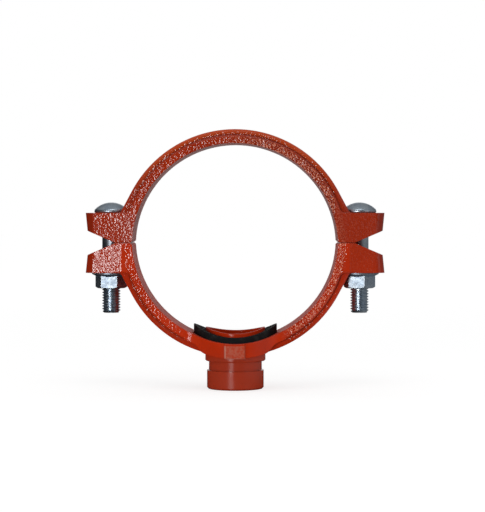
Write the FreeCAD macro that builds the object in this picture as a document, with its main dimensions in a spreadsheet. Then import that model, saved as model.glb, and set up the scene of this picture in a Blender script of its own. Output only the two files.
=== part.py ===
import FreeCAD, Part
import math
import os
import Sketcher
from types import SimpleNamespace

# Grooved mechanical tee: two ring halves bolted round a 168.3 mm run pipe, with a 48.3 mm grooved branch.
# Millimetres. +Y runs along the pipe, +Z is up, and the branch points down.
# The origin is on the run axis, in the parting plane of the two halves, on the branch axis.

Vector = FreeCAD.Vector

# How a sketch numbers its own axes, and the points of each of its pieces
HORIZONTAL_AXIS, VERTICAL_AXIS = range(-1, -3, -1)
START, END, CENTRE = range(1, 4)

# Each size has one name and one value, in millimetres or degrees.
SIZES = {
    # Ring section: a wide band inside and a narrower rib outside
    "bore_radius": "86.6",
    "bore_offset": "2.7",
    "bore_chamfer": "1.5",
    "band_wall": "7.0",
    "ring_wall": "12.0",
    "ring_width": "50",
    "rib_setback": "5",
    "ledge_round": "4.5",
    "parting_gap": "0.3",
    "rib_bevel": "1.8",
    "cast_bevel": "1.2",
    # Bolt lugs
    "seat_height": "25.3",
    "flank_angle": "28",
    "foot_round": "3.5",
    "parting_land": "14.0",
    "bolt_offset": "19.2",
    "tip_margin": "20.4",
    "tip_lean": "1.5",
    "tip_thickness": "15.0",
    "outlet_taper_margin": "9.1",
    "strap_taper_inset": "2.6",
    "tip_narrowing": "4",
    "tip_round": "7",
    "spot_gap": "1.1",
    "hole_side_gap": "0.8",
    "hole_stretch": "6.8",
    # Saddle round the branch, with its pocket for the gasket
    "saddle_wall": "5.3",
    "saddle_round": "18",
    "saddle_margin": "2.5",
    "swell_reach": "24",
    "swell_round": "11",
    "face_pad_width": "16.7",
    "face_pad_stand": "1.2",
    "pocket_depth": "6",
    # Locating collar and grooved branch
    "collar_diameter": "50.3",
    "collar_wall": "2.65",
    "collar_rise": "7.6",
    "collar_rim_inset": "12.6",
    "collar_mouth_depth": "4",
    "branch_length": "28.4",
    "branch_diameter": "48.3",
    "branch_wall": "3.65",
    "branch_end_bevel": "1.3",
    "shoulder_step": "1.55",
    "shoulder_bevel": "0.8",
    "land_length": "15.88",
    "groove_width": "7.95",
    "groove_depth": "1.605",
    # Gasket
    "gasket_width": "9.4",
    "gasket_inner_gap": "0.85",
    "gasket_side_gap": "0.3",
    "gasket_seat_gap": "0.1",
    "gasket_top_inset": "22.6",
    "gasket_rise": "4.5",
    # Track bolts
    "bolt_diameter": "15.6",
    "thread_end": "20.9",
    "bolt_point": "1.3",
    "head_diameter": "29",
    "head_height": "8.9",
    "head_edge": "2.5",
    "crown_diameter": "15",
    "neck_side_gap": "0.4",
    "neck_length": "7.5",
    # Flange nuts
    "nut_across": "23.8",
    "nut_height": "13.4",
    "nut_chamfer": "1.2",
    "nut_chamfer_angle": "30",
    "flange_overhang": "4.6",
    "flange_edge": "1.5",
    "flange_slope": "25",
    "thread_gap": "0.15",
    "nut_seat_gap": "0.1",
    "nut_clock": "8.5",
    # How far a cut reaches past the solid that it passes through
    "cut_margin": "5",
}


# Turned over about the pipe's direction, so that what was modelled above the run hangs below it
TURNED_OVER = FreeCAD.Placement(Vector(0, 0, 0), FreeCAD.Rotation(Vector(0, 1, 0), 180))

# A nut's flats, and half the angle in degrees that one of them spans at the centre
NUT_SIDES = 6
HALF_SIDE = 180 / NUT_SIDES

# How near two places have to be to count as the same, in millimetres
NEAR = 0.01

doc = FreeCAD.newDocument("mechanical_tee")


class Size(float):
    """A number that carries the expression by which it follows the sheet."""

    def __new__(cls, number, text):
        value = super().__new__(cls, number)
        value.text = text
        return value

    def __add__(self, other):
        return combined(self, "+", other, float(self) + float(other))

    def __sub__(self, other):
        return combined(self, "-", other, float(self) - float(other))

    def __rsub__(self, other):
        return combined(other, "-", self, float(other) - float(self))

    def __mul__(self, other):
        return combined(self, "*", other, float(self) * float(other))

    def __rmul__(self, other):
        return combined(self, "*", other, float(self) * float(other))

    def __truediv__(self, other):
        return combined(self, "/", other, float(self) / float(other))

    def __neg__(self):
        return self * -1


def expression(value):
    """What a value is written as in an expression."""
    return value.text if isinstance(value, Size) else repr(value)


def combined(first, sign, second, number):
    """The value that two others make, with its expression."""
    return Size(number, "(%s %s %s)" % (expression(first), sign, expression(second)))


def square(value):
    """A value times itself."""
    return value * value


def square_root(value):
    """The square root of a value."""
    return Size(math.sqrt(value), "sqrt(%s)" % expression(value))


def tangent(angle):
    """The tangent of an angle in degrees."""
    return Size(math.tan(math.radians(angle)), "tan(%s)" % expression(angle))


def cosine(angle):
    """The cosine of an angle in degrees."""
    return Size(math.cos(math.radians(angle)), "cos(%s)" % expression(angle))


def fill_sheet(name, cells):
    """Put each size into the sheet under its name, and give the sizes as values."""
    sheet = doc.addObject("Spreadsheet::Sheet", name)
    for row, (alias, number) in enumerate(cells.items(), start=1):
        sheet.set("A%d" % row, alias)
        sheet.set("B%d" % row, number)
        sheet.setAlias("B%d" % row, alias)
    doc.recompute()
    return SimpleNamespace(**{alias: Size(sheet.get(alias), "%s.%s" % (name, alias)) for alias in cells})


sizes = fill_sheet("sizes", SIZES)
layout = SimpleNamespace()

# Ring
layout.band_radius = sizes.bore_radius + sizes.band_wall
layout.rib_root = sizes.bore_radius + sizes.band_wall / 2
layout.outer_radius = sizes.bore_radius + sizes.ring_wall
layout.floor_radius = sizes.bore_radius + sizes.pocket_depth
layout.half_gap = sizes.parting_gap / 2
layout.half_width = sizes.ring_width / 2
layout.rib_width = sizes.ring_width - 2 * sizes.rib_setback
layout.bore_height = sizes.parting_gap / 2 + sizes.bore_chamfer
# Lugs
layout.rib_foot = sizes.seat_height / 2
layout.parting_reach = sizes.bore_radius + sizes.parting_land
layout.bolt_reach = sizes.bore_radius + sizes.bolt_offset
layout.lug_reach = layout.bolt_reach + sizes.tip_margin
layout.lug_clear = layout.lug_reach + sizes.cut_margin
layout.tip_low_reach = layout.lug_reach - sizes.tip_lean
layout.tip_low_height = sizes.seat_height - sizes.tip_thickness
layout.outlet_taper_start = sizes.bore_radius + sizes.outlet_taper_margin
layout.strap_taper_start = sizes.bore_radius - sizes.strap_taper_inset
layout.width_clear = layout.half_width + sizes.cut_margin
layout.flange_radius = sizes.nut_across / 2 + sizes.flange_overhang
layout.spot_radius = layout.flange_radius + sizes.spot_gap
layout.hole_radius = sizes.bolt_diameter / 2 + sizes.hole_side_gap
layout.hole_right = layout.bolt_reach + sizes.hole_stretch / 2
layout.hole_left = layout.bolt_reach - sizes.hole_stretch / 2
# Gasket and its pocket
layout.collar_radius = sizes.collar_diameter / 2
layout.gasket_hole = layout.collar_radius + sizes.gasket_inner_gap
layout.gasket_radius = layout.gasket_hole + sizes.gasket_width
layout.gasket_span = 2 * layout.gasket_radius + sizes.cut_margin
layout.gasket_clear = layout.gasket_radius + sizes.cut_margin
layout.gasket_floor = layout.floor_radius - sizes.gasket_seat_gap
layout.gasket_top_radius = sizes.bore_radius - sizes.gasket_top_inset
layout.gasket_crown = sizes.bore_radius - sizes.bore_offset - sizes.gasket_rise
layout.gasket_top_centre = layout.gasket_crown - layout.gasket_top_radius
layout.pocket_radius = layout.gasket_radius + sizes.gasket_side_gap
# Saddle
layout.boss_radius = layout.pocket_radius + sizes.saddle_wall
layout.pad_front = layout.boss_radius + sizes.face_pad_stand
layout.pad_half = sizes.face_pad_width / 2
layout.saddle_width = 2 * layout.pad_front
layout.saddle_clear = layout.pad_front + sizes.cut_margin
layout.blend_depth = layout.half_width + sizes.saddle_round
layout.blend_reach = square_root(square(layout.boss_radius + sizes.saddle_round) - square(layout.blend_depth))
layout.saddle_reach = layout.blend_reach + sizes.saddle_margin
layout.saddle_far = layout.saddle_reach + sizes.cut_margin
layout.frame_half = 2 * layout.outer_radius
# Collar and branch
layout.rim_depth = sizes.bore_radius - sizes.bore_offset - sizes.collar_rise
layout.rim_radius = sizes.bore_radius - sizes.collar_rim_inset
layout.rim_centre = layout.rim_depth - layout.rim_radius
layout.mouth_depth = layout.rim_depth + sizes.collar_mouth_depth
layout.mouth_radius = layout.collar_radius - sizes.collar_wall
layout.root_depth = layout.rim_depth / 2
layout.root_clear = layout.root_depth - sizes.cut_margin
layout.wall_depth = (layout.floor_radius + layout.outer_radius) / 2 - sizes.bore_offset
layout.ring_depth = layout.outer_radius - sizes.bore_offset
layout.branch_depth = layout.ring_depth + sizes.branch_length
layout.branch_clear = layout.branch_depth + sizes.cut_margin
layout.land_top = layout.branch_depth - sizes.land_length
layout.groove_top = layout.land_top - sizes.groove_width
layout.land_radius = sizes.branch_diameter / 2
layout.shoulder_radius = layout.land_radius + sizes.shoulder_step
layout.groove_radius = layout.land_radius - sizes.groove_depth
layout.waterway_radius = layout.land_radius - sizes.branch_wall
# Bolts
layout.shank_radius = sizes.bolt_diameter / 2
layout.head_radius = sizes.head_diameter / 2
layout.crown_radius = sizes.crown_diameter / 2
layout.nut_foot = 2 * sizes.seat_height + sizes.nut_seat_gap + sizes.nut_height
layout.bolt_length = layout.nut_foot + sizes.thread_end
layout.point_height = layout.bolt_length - sizes.bolt_point
layout.point_radius = layout.shank_radius - sizes.bolt_point
layout.neck_radius = layout.hole_radius - sizes.neck_side_gap
layout.neck_right = sizes.hole_stretch / 2
# Nuts
layout.thread_radius = layout.shank_radius + sizes.thread_gap
layout.flat_radius = sizes.nut_across / 2
layout.corner_radius = layout.flat_radius / cosine(HALF_SIDE)
layout.bevel_start = layout.corner_radius - sizes.nut_chamfer
layout.bevel_far = layout.corner_radius + sizes.cut_margin
layout.bevel_rise = tangent(sizes.nut_chamfer_angle) * (layout.bevel_far - layout.bevel_start)
layout.bevel_top = sizes.nut_height - layout.bevel_rise
layout.nut_clear = sizes.nut_height + sizes.cut_margin
layout.cone_drop = sizes.flange_overhang * tangent(sizes.flange_slope)
layout.cone_foot = sizes.flange_edge + layout.cone_drop


def polar(centre, radius, degrees):
    """A point in a sketch, from a centre, a radius and an angle."""
    angle = math.radians(degrees)
    return Vector(centre.x + radius * math.cos(angle), centre.y + radius * math.sin(angle), 0)


def direction(centre, point):
    """The angle in degrees at which a point is seen from a centre."""
    return math.degrees(math.atan2(point.y - centre.y, point.x - centre.x))


def new_body(name):
    """A body whose label names its piece."""
    body = doc.addObject("PartDesign::Body", name)
    body.Label = name
    return body


def origin_feature(body, role):
    """One of the body's own planes or axes."""
    return next(item for item in body.Origin.OriginFeatures if item.Role == role)


def new_sketch(body, name, plane):
    """An empty sketch on one of the body's own planes."""
    sketch = body.newObject("Sketcher::SketchObject", name)
    sketch.AttachmentSupport = (origin_feature(body, plane), [""])
    sketch.MapMode = "FlatFace"
    return sketch


def constrain(sketch, *spec):
    """Add one constraint without a size."""
    return sketch.addConstraint(Sketcher.Constraint(*spec))


def dimension(sketch, value, *spec):
    """Add one constraint whose size follows the sheet."""
    index = sketch.addConstraint(Sketcher.Constraint(*spec, float(value)))
    sketch.setExpression("Constraints[%d]" % index, expression(value))


def across(sketch, geometry, point, value):
    """Hold a point at a distance to the right of the sketch's origin."""
    dimension(sketch, value, "DistanceX", HORIZONTAL_AXIS, START, geometry, point)


def up(sketch, geometry, point, value):
    """Hold a point at a distance above the sketch's origin."""
    dimension(sketch, value, "DistanceY", HORIZONTAL_AXIS, START, geometry, point)


def radius(sketch, geometry, value):
    """Give an arc or a circle its radius."""
    dimension(sketch, value, "Radius", geometry)


def on_axis(sketch, geometry, point):
    """Hold a point on the sketch's vertical axis."""
    constrain(sketch, "PointOnObject", geometry, point, VERTICAL_AXIS)


def line(sketch, first, last):
    """Add a line and give its number, start and end as walked."""
    return (sketch.addGeometry(Part.LineSegment(first, last)), START, END)


def arc(sketch, centre, arc_radius, first, last):
    """Add an arc from one angle to another, clockwise where the second is smaller."""
    circle = Part.Circle(centre, Vector(0, 0, 1), arc_radius)
    low, high = sorted((math.radians(first), math.radians(last)))
    number = sketch.addGeometry(Part.ArcOfCircle(circle, low, high))
    return (number, START, END) if last > first else (number, END, START)


def circle_at_origin(sketch, value, helper=False):
    """Add a circle about the sketch's origin."""
    circle = Part.Circle(Vector(0, 0, 0), Vector(0, 0, 1), value)
    number = sketch.addGeometry(circle, helper)
    constrain(sketch, "Coincident", number, CENTRE, HORIZONTAL_AXIS, START)
    radius(sketch, number, value)
    return number


def join(sketch, pieces, smooth=()):
    """Join pieces end to start into a closed outline, tangent where the number is in smooth."""
    for index, (piece, _, leave) in enumerate(pieces):
        following, arrive, _ = pieces[(index + 1) % len(pieces)]
        kind = "Tangent" if index in smooth else "Coincident"
        constrain(sketch, kind, piece, leave, following, arrive)


def pad(body, name, sketch, length, symmetric=False, reverse=False):
    """Extrude a sketch by a length that follows the sheet."""
    feature = body.newObject("PartDesign::Pad", name)
    feature.Profile = sketch
    feature.SideType = "Symmetric" if symmetric else "One side"
    feature.Reversed = reverse
    feature.setExpression("Length", expression(length))
    return feature


def pocket_through(body, name, sketch):
    """Cut a sketch through the whole body, both ways."""
    feature = body.newObject("PartDesign::Pocket", name)
    feature.Profile = sketch
    feature.SideType = "Symmetric"
    feature.Type = "ThroughAll"
    return feature


def revolve(body, name, kind, sketch):
    """Turn a sketch fully about its own vertical axis, to add or to cut."""
    feature = body.newObject(kind, name)
    feature.Profile = sketch
    feature.ReferenceAxis = (sketch, ["V_Axis"])
    feature.Angle = 360
    return feature


def edge_middle(edge):
    """The point halfway along an edge."""
    return edge.valueAt((edge.FirstParameter + edge.LastParameter) / 2)


def picked_edges(base, chosen):
    """The edges of the last feature that a test picks."""
    doc.recompute()
    names = ["Edge%d" % number for number, edge in enumerate(base.Shape.Edges, start=1) if chosen(edge)]
    if not names:
        raise RuntimeError("no edges to work on after " + base.Name)
    return base, names


def fillet(body, name, base, chosen, value):
    """Round the edges of the last feature that a test picks."""
    edges = picked_edges(base, chosen)
    feature = body.newObject("PartDesign::Fillet", name)
    feature.Base = edges
    feature.setExpression("Radius", expression(value))
    return feature


def bevel(body, name, base, chosen, value):
    """Bevel the edges of the last feature that a test picks."""
    edges = picked_edges(base, chosen)
    feature = body.newObject("PartDesign::Chamfer", name)
    feature.Base = edges
    feature.setExpression("Size", expression(value))
    return feature


def cut_form(body, form):
    """Cut another body's form out of this one."""
    feature = body.newObject("PartDesign::Boolean", form.Label + "_cut")
    feature.Type = "Cut"
    feature.setObjects([form])
    return feature


# The centre that the ring's arcs share, a little below the parting plane
RING_CENTRE = Vector(0, -sizes.bore_offset, 0)


def ring_arc(sketch, reach, first, last):
    """Add an arc of the ring, about its centre."""
    return arc(sketch, RING_CENTRE, reach, first, last)


def place_ring_arcs(sketch, arcs):
    """Give arcs their radii and put their shared centre on the vertical axis."""
    first = next(iter(arcs))
    on_axis(sketch, first, CENTRE)
    up(sketch, first, CENTRE, -sizes.bore_offset)
    for number, reach in arcs.items():
        radius(sketch, number, reach)
        if number != first:
            constrain(sketch, "Coincident", number, CENTRE, first, CENTRE)


def crown_line(sketch, inner, outer):
    """Add the upright line over the ring's centre, from one radius to another."""
    return line(sketch, polar(RING_CENTRE, inner, 90), polar(RING_CENTRE, outer, 90))


def hold_crown(sketch, crown):
    """Keep the crown line upright on the axis."""
    constrain(sketch, "Vertical", crown[0])
    on_axis(sketch, crown[0], START)


def ring_point(reach, height):
    """A point of the ring's circle at a height above the origin."""
    rise = height + sizes.bore_offset
    return Vector(math.sqrt(reach ** 2 - rise ** 2), height, 0)


def rib(body):
    """The narrower rib outside the band, from the crown down a straight flank into the lug."""
    sketch = new_sketch(body, body.Label + "_rib_profile", "XZ_Plane")
    flank = sizes.flank_angle
    seat = sizes.seat_height
    foot = sizes.foot_round
    top = polar(RING_CENTRE, layout.outer_radius, flank)
    corner_x = top.x + (top.y - seat) * math.tan(math.radians(flank))
    foot_centre = Vector(corner_x + foot / math.tan(math.radians(90 + flank) / 2), seat + foot, 0)
    flank_low = polar(foot_centre, foot, 180 + flank)
    inner_low = ring_point(layout.rib_root, layout.rib_foot)
    outer_low = Vector(foot_centre.x, inner_low.y, 0)

    outer_arc = ring_arc(sketch, layout.outer_radius, 90, flank)
    flank_line = line(sketch, top, flank_low)
    foot_arc = arc(sketch, foot_centre, foot, 180 + flank, 270)
    end = line(sketch, Vector(foot_centre.x, seat, 0), outer_low)
    under = line(sketch, outer_low, inner_low)
    inner_arc = ring_arc(sketch, layout.rib_root, direction(RING_CENTRE, inner_low), 90)
    crown = crown_line(sketch, layout.rib_root, layout.outer_radius)
    join(sketch, [outer_arc, flank_line, foot_arc, end, under, inner_arc, crown], smooth=(0, 1))
    place_ring_arcs(sketch, {outer_arc[0]: layout.outer_radius, inner_arc[0]: layout.rib_root})
    hold_crown(sketch, crown)
    radius(sketch, foot_arc[0], sizes.foot_round)
    up(sketch, foot_arc[0], foot_arc[2], sizes.seat_height)
    constrain(sketch, "Vertical", foot_arc[0], CENTRE, foot_arc[0], foot_arc[2])
    constrain(sketch, "Vertical", end[0])
    constrain(sketch, "Horizontal", under[0])
    up(sketch, under[0], START, layout.rib_foot)
    lean = sketch.addConstraint(Sketcher.Constraint("Angle", flank_line[0], math.radians(flank - 90)))
    sketch.setExpression("Constraints[%d]" % lean, "sizes.flank_angle - 90")
    return pad(body, body.Label + "_rib", sketch, layout.rib_width, symmetric=True)


def rib_edge(edge):
    """The rib's outer edges, front and back, from the crown to the lug."""
    side = layout.rib_width / 2
    points = [edge.valueAt(edge.FirstParameter), edge.valueAt(edge.LastParameter)]
    middle = edge_middle(edge)
    reach = math.hypot(middle.x, middle.z + sizes.bore_offset)
    on_side = all(abs(abs(point.y) - side) < NEAR for point in points)
    above_seat = all(point.z > sizes.seat_height - NEAR for point in points)
    return on_side and above_seat and middle.x > NEAR and reach > layout.band_radius


def lug_band(body):
    """The wide inner band with its bolt lug, on the right of the crown."""
    sketch = new_sketch(body, body.Label + "_band_profile", "XZ_Plane")
    bore_end = ring_point(sizes.bore_radius, layout.bore_height)
    pad_inner = Vector(bore_end.x + sizes.bore_chamfer, layout.half_gap, 0)
    pad_outer = Vector(layout.parting_reach, layout.half_gap, 0)
    tip_low = Vector(layout.tip_low_reach, layout.tip_low_height, 0)
    tip_high = Vector(layout.lug_reach, sizes.seat_height, 0)
    ledge = sizes.ledge_round
    ledge_height = sizes.seat_height + ledge
    ledge_reach = math.sqrt((layout.band_radius + ledge) ** 2 - (ledge_height + sizes.bore_offset) ** 2)
    ledge_centre = Vector(ledge_reach, ledge_height, 0)
    band_angle = direction(RING_CENTRE, ledge_centre)

    bore_arc = ring_arc(sketch, sizes.bore_radius, 90, direction(RING_CENTRE, bore_end))
    chamfer_line = line(sketch, bore_end, pad_inner)
    parting_face = line(sketch, pad_inner, pad_outer)
    slant = line(sketch, pad_outer, tip_low)
    tip = line(sketch, tip_low, tip_high)
    seat_line = line(sketch, tip_high, Vector(ledge_reach, tip_high.y, 0))
    ledge_arc = arc(sketch, ledge_centre, ledge, 270, 180 + band_angle)
    band_arc = ring_arc(sketch, layout.band_radius, band_angle, 90)
    crown = crown_line(sketch, layout.band_radius, sizes.bore_radius)
    join(sketch, [bore_arc, chamfer_line, parting_face, slant, tip, seat_line, ledge_arc, band_arc, crown],
         smooth=(5, 6))
    place_ring_arcs(sketch, {bore_arc[0]: sizes.bore_radius, band_arc[0]: layout.band_radius})
    hold_crown(sketch, crown)
    up(sketch, bore_arc[0], bore_arc[2], layout.bore_height)
    up(sketch, parting_face[0], START, layout.half_gap)
    dimension(sketch, sizes.bore_chamfer, "DistanceX", chamfer_line[0], START, chamfer_line[0], END)
    constrain(sketch, "Horizontal", parting_face[0])
    across(sketch, parting_face[0], END, layout.parting_reach)
    across(sketch, tip[0], START, layout.tip_low_reach)
    up(sketch, tip[0], START, layout.tip_low_height)
    across(sketch, tip[0], END, layout.lug_reach)
    up(sketch, tip[0], END, sizes.seat_height)
    constrain(sketch, "Horizontal", seat_line[0])
    radius(sketch, ledge_arc[0], sizes.ledge_round)
    return pad(body, body.Label + "_band", sketch, sizes.ring_width, symmetric=True)


def lug_taper(body, start):
    """Narrow the lug from here towards its tip, front and back."""
    sketch = new_sketch(body, body.Label + "_taper_profile", "XY_Plane")
    rate = sizes.tip_narrowing / (layout.lug_reach - start)
    far_half = layout.half_width - rate * (layout.lug_clear - start)
    for side in (1, -1):
        root = Vector(start, side * layout.half_width, 0)
        tip = Vector(layout.lug_clear, side * far_half, 0)
        tip_out = Vector(tip.x, side * layout.width_clear, 0)
        root_out = Vector(root.x, tip_out.y, 0)
        pieces = [line(sketch, root, tip), line(sketch, tip, tip_out),
                  line(sketch, tip_out, root_out), line(sketch, root_out, root)]
        join(sketch, pieces)
        face, far_side, outer, near_side = [piece[0] for piece in pieces]
        constrain(sketch, "Vertical", far_side)
        constrain(sketch, "Vertical", near_side)
        constrain(sketch, "Horizontal", outer)
        across(sketch, face, START, start)
        across(sketch, face, END, layout.lug_clear)
        up(sketch, face, START, side * layout.half_width)
        up(sketch, face, END, side * far_half)
        up(sketch, outer, START, side * layout.width_clear)
    return pocket_through(body, body.Label + "_taper", sketch)


def tip_edge(edge):
    """The two slanting edges at the tip of a lug, front and back."""
    ends = sorted((vertex.Point for vertex in edge.Vertexes), key=lambda point: point.z)
    corners = ((layout.tip_low_reach, layout.tip_low_height), (layout.lug_reach, sizes.seat_height))
    return len(ends) == 2 and all(
        abs(point.x - reach) < NEAR and abs(point.z - height) < NEAR
        for point, (reach, height) in zip(ends, corners))


def band_edge(edge):
    """The wide band's outer edges and the lug's seat edges, front and back, before the lug is tapered."""
    middle = edge_middle(edge)
    reach = math.hypot(middle.x, middle.z + sizes.bore_offset)
    on_face = abs(abs(middle.y) - layout.half_width) < NEAR and edge.BoundBox.YLength < NEAR
    return on_face and reach > layout.band_radius - NEAR and middle.z > sizes.seat_height - NEAR


def bolt_seat(body):
    """The round recess that the bolt head or the nut stands in, cut back into the flank of the ring."""
    sketch = new_sketch(body, body.Label + "_spot_face", "XY_Plane")
    sketch.AttachmentOffset = FreeCAD.Placement(Vector(0, 0, sizes.seat_height), FreeCAD.Rotation())
    sketch.setExpression("AttachmentOffset.Base.z", expression(sizes.seat_height))
    circle = Part.Circle(Vector(layout.bolt_reach, 0, 0), Vector(0, 0, 1), layout.spot_radius)
    number = sketch.addGeometry(circle)
    constrain(sketch, "PointOnObject", number, CENTRE, HORIZONTAL_AXIS)
    across(sketch, number, CENTRE, layout.bolt_reach)
    radius(sketch, number, layout.spot_radius)
    feature = body.newObject("PartDesign::Pocket", body.Label + "_spot")
    feature.Profile = sketch
    feature.Type = "Length"
    feature.Reversed = True
    feature.setExpression("Length", expression(layout.outer_radius))
    return feature


def oval_outline(sketch, left, right, half):
    """An oval hole or neck, long in X: two half rounds joined by straight sides."""
    right_arc = arc(sketch, Vector(right, 0, 0), half, -90, 90)
    top = line(sketch, Vector(right, half, 0), Vector(left, half, 0))
    left_arc = arc(sketch, Vector(left, 0, 0), half, 90, 270)
    bottom = line(sketch, Vector(left, -half, 0), Vector(right, -half, 0))
    join(sketch, [right_arc, top, left_arc, bottom], smooth=(0, 1, 2, 3))
    constrain(sketch, "Horizontal", top[0])
    constrain(sketch, "Horizontal", bottom[0])
    constrain(sketch, "PointOnObject", right_arc[0], CENTRE, HORIZONTAL_AXIS)
    radius(sketch, right_arc[0], half)
    across(sketch, right_arc[0], CENTRE, right)
    across(sketch, left_arc[0], CENTRE, left)


def bolt_hole(body):
    """The oval hole that stops the bolt's oval neck from turning."""
    sketch = new_sketch(body, body.Label + "_hole_profile", "XY_Plane")
    oval_outline(sketch, layout.hole_left, layout.hole_right, layout.hole_radius)
    return pocket_through(body, body.Label + "_hole", sketch)


def mirror_half(body):
    """Copy the right side of the casting to the left."""
    doc.recompute()
    feature = body.newObject("PartDesign::Mirrored", body.Label + "_mirror")
    feature.TransformMode = "Whole shape"
    feature.MirrorPlane = (origin_feature(body, "YZ_Plane"), [""])
    body.Tip = feature
    return feature


def ring_section(body):
    """What both castings start from: the rib, and the band with its plain lug, with edges taken off."""
    bevel(body, body.Label + "_rib_bevel", rib(body), rib_edge, sizes.rib_bevel)
    bevel(body, body.Label + "_band_bevel", lug_band(body), band_edge, sizes.cast_bevel)


def shape_lugs(body, taper_start):
    """Taper and round the lug, cut its bolt seat and hole, and copy all of it to the left."""
    taper = lug_taper(body, taper_start)
    fillet(body, body.Label + "_tip_rounds", taper, tip_edge, sizes.tip_round)
    bolt_seat(body)
    bolt_hole(body)
    mirror_half(body)


def saddle_block(body):
    """The thick zone round the branch, as wide as the boss, which swells out of the band."""
    sketch = new_sketch(body, "saddle_profile", "XZ_Plane")
    outer = layout.outer_radius
    band = layout.band_radius
    bore = sizes.bore_radius
    swell = sizes.swell_round
    top_angle = math.degrees(math.acos(sizes.swell_reach / outer))
    high = outer - swell
    low = band + swell
    turn = math.degrees(math.acos((high ** 2 + low ** 2 - 4 * swell ** 2) / (2 * high * low)))
    high_centre = polar(RING_CENTRE, high, top_angle)
    low_centre = polar(RING_CENTRE, low, top_angle - turn)
    between = direction(high_centre, low_centre)
    end_angle = math.degrees(math.acos(layout.saddle_reach / band))
    end_inner = polar(RING_CENTRE, bore, end_angle)
    end_outer = polar(RING_CENTRE, band, end_angle)

    outer_arc = ring_arc(sketch, outer, 90, top_angle)
    high_arc = arc(sketch, high_centre, swell, top_angle, between)
    low_arc = arc(sketch, low_centre, swell, 180 + between, 180 + top_angle - turn)
    band_arc = ring_arc(sketch, band, top_angle - turn, end_angle)
    end = (sketch.addGeometry(Part.LineSegment(end_inner, end_outer)), END, START)
    bore_arc = ring_arc(sketch, bore, end_angle, 90)
    crown = crown_line(sketch, bore, outer)
    join(sketch, [outer_arc, high_arc, low_arc, band_arc, end, bore_arc, crown], smooth=(0, 1, 2))
    place_ring_arcs(sketch, {outer_arc[0]: outer, band_arc[0]: band, bore_arc[0]: bore})
    hold_crown(sketch, crown)
    across(sketch, outer_arc[0], outer_arc[2], sizes.swell_reach)
    radius(sketch, high_arc[0], sizes.swell_round)
    radius(sketch, low_arc[0], sizes.swell_round)
    across(sketch, end[0], END, layout.saddle_reach)
    constrain(sketch, "PointOnObject", outer_arc[0], CENTRE, end[0])
    return pad(body, "saddle", sketch, layout.saddle_width, symmetric=True)


def saddle_trim(body):
    """Cut the thick zone back to the boss, which flows into the ring's faces, with a flat pad in front."""
    sketch = new_sketch(body, "saddle_plan", "XY_Plane")
    boss = layout.boss_radius
    blend = sizes.saddle_round
    margin = -sizes.cut_margin
    blend_angle = math.degrees(math.atan2(layout.blend_depth, layout.blend_reach))
    for side in (1, -1):
        blend_centre = Vector(layout.blend_reach, side * layout.blend_depth, 0)
        face_y = side * layout.half_width
        out_y = side * layout.saddle_clear
        if side > 0:
            lead = [line(sketch, Vector(margin, boss, 0), Vector(0, boss, 0))]
            boss_arc = arc(sketch, Vector(0, 0, 0), boss, 90, blend_angle)
            blend_arc = arc(sketch, blend_centre, blend, blend_angle + 180, 270)
        else:
            corner = Vector(layout.pad_half, -layout.pad_front, 0)
            root = Vector(corner.x, -math.sqrt(boss ** 2 - corner.x ** 2), 0)
            lead = [line(sketch, Vector(margin, corner.y, 0), corner), line(sketch, corner, root)]
            boss_arc = arc(sketch, Vector(0, 0, 0), boss, direction(Vector(0, 0, 0), root), -blend_angle)
            blend_arc = arc(sketch, blend_centre, blend, 180 - blend_angle, 90)
        face = line(sketch, Vector(blend_centre.x, face_y, 0), Vector(layout.saddle_far, face_y, 0))
        end = line(sketch, Vector(layout.saddle_far, face_y, 0), Vector(layout.saddle_far, out_y, 0))
        outer = line(sketch, Vector(layout.saddle_far, out_y, 0), Vector(margin, out_y, 0))
        back = line(sketch, Vector(margin, out_y, 0), sketch.getPoint(lead[0][0], START))
        pieces = lead + [boss_arc, blend_arc, face, end, outer, back]
        join(sketch, pieces, smooth=(len(lead), len(lead) + 1))
        constrain(sketch, "Coincident", boss_arc[0], CENTRE, HORIZONTAL_AXIS, START)
        radius(sketch, boss_arc[0], layout.boss_radius)
        radius(sketch, blend_arc[0], sizes.saddle_round)
        constrain(sketch, "Horizontal", lead[0][0])
        constrain(sketch, "Horizontal", face[0])
        constrain(sketch, "Vertical", end[0])
        constrain(sketch, "Horizontal", outer[0])
        constrain(sketch, "Vertical", back[0])
        up(sketch, face[0], START, side * layout.half_width)
        across(sketch, end[0], START, layout.saddle_far)
        up(sketch, outer[0], START, side * layout.saddle_clear)
        across(sketch, back[0], START, -sizes.cut_margin)
        if side > 0:
            on_axis(sketch, lead[0][0], END)
        else:
            constrain(sketch, "Vertical", lead[1][0])
            across(sketch, lead[1][0], START, layout.pad_half)
            up(sketch, lead[1][0], START, -layout.pad_front)
    return pocket_through(body, "saddle_trim", sketch)


def frame_outline(sketch):
    """A large square about the origin, to cut away all that lies outside an outline within it."""
    half = layout.frame_half
    corners = [Vector(-half, -half, 0), Vector(half, -half, 0), Vector(half, half, 0), Vector(-half, half, 0)]
    sides = [line(sketch, corner, corners[(i + 1) % 4]) for i, corner in enumerate(corners)]
    join(sketch, sides)
    for number, reach in ((0, -layout.frame_half), (2, layout.frame_half)):
        constrain(sketch, "Horizontal", sides[number][0])
        across(sketch, sides[number][0], START, reach)
        up(sketch, sides[number][0], START, reach)
    constrain(sketch, "Vertical", sides[1][0])
    constrain(sketch, "Vertical", sides[3][0])


def trim_to_plan(body, name, outer):
    """Cut away all that lies outside a round plan of this radius about the upright axis."""
    sketch = new_sketch(body, name + "_plan", "XY_Plane")
    frame_outline(sketch)
    circle_at_origin(sketch, outer)
    return pocket_through(body, name, sketch)


def drill(body, name, value):
    """Cut a round hole about the body's upright axis, right through."""
    sketch = new_sketch(body, name + "_plan", "XY_Plane")
    circle_at_origin(sketch, value)
    return pocket_through(body, name, sketch)


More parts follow.
